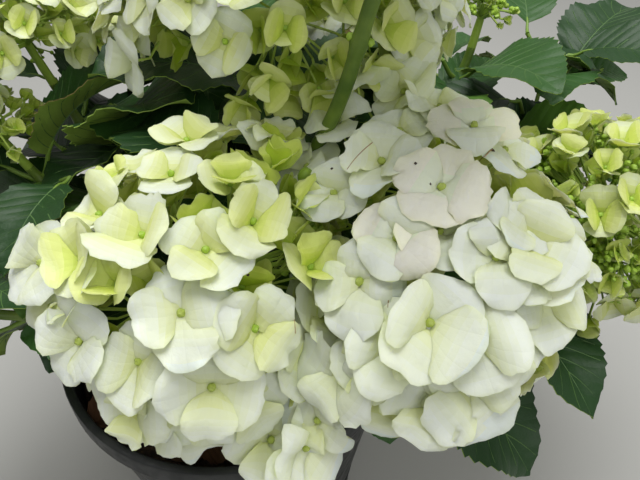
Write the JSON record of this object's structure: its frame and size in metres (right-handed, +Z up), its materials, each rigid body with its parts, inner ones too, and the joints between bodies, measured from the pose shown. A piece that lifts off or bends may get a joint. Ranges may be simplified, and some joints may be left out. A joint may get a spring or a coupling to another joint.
{
  "type": "potted hydrangea shrub",
  "caption": "Rounded mophead hydrangea in a plain black nursery pot, with white and lime flower domes over broad toothed leaves.",
  "frame": {"origin": "centre of the pot's flat underside, at floor level", "axes": "+Z up along the pot's axis, -Y towards the plant's front, where two large white heads lean out, +X to the right seen from the front"},
  "size_m": [0.6653, 0.4893, 0.6525],
  "materials": {
    "pot": "satin moulded black plastic",
    "potting_mix": "loose moist dark brown bark and peat",
    "cane": "matt brown-green bark with pale specks",
    "foliage": "satin dark green leaf, veined and toothed",
    "bloom_open": "soft matt white sepals, cream towards the eye",
    "bloom_young": "soft matt lime and cream sepals",
    "bloom_bud": "matt green flower buds"
  },
  "bodies": {
    "root": {"pot": "pot", "soil": "potting_mix", "cane_front_left": "cane", "cane_front_right": "cane", "cane_right": "cane", "cane_left": "cane", "cane_low_left": "cane", "cane_back": "cane", "cane_tall": "cane", "cane_bud": "cane", "cane_rear_left": "cane", "cane_rear_right": "cane", "cane_side_left": "cane", "cane_blind_right": "cane", "cane_blind_corner": "cane", "cane_blind_rear": "cane", "bloom_front_left": "bloom_open", "bloom_front_right": "bloom_open", "bloom_right": "bloom_young", "bloom_left": "bloom_young", "bloom_low_left": "bloom_young", "bloom_back": "bloom_open", "bloom_tall": "bloom_open", "bloom_bud": "bloom_bud", "bloom_rear_left": "bloom_open", "bloom_rear_right": "bloom_open", "bloom_side_left": "bloom_open", "leaves_front_left": "foliage", "leaves_front_right": "foliage", "leaves_right": "foliage", "leaves_left": "foliage", "leaves_low_left": "foliage", "leaves_back": "foliage", "leaves_tall": "foliage", "leaves_bud": "foliage", "leaves_rear_left": "foliage", "leaves_rear_right": "foliage", "leaves_side_left": "foliage", "leaves_blind_right": "foliage", "leaves_blind_corner": "foliage", "leaves_blind_rear": "foliage"}
  },
  "joints": []
}
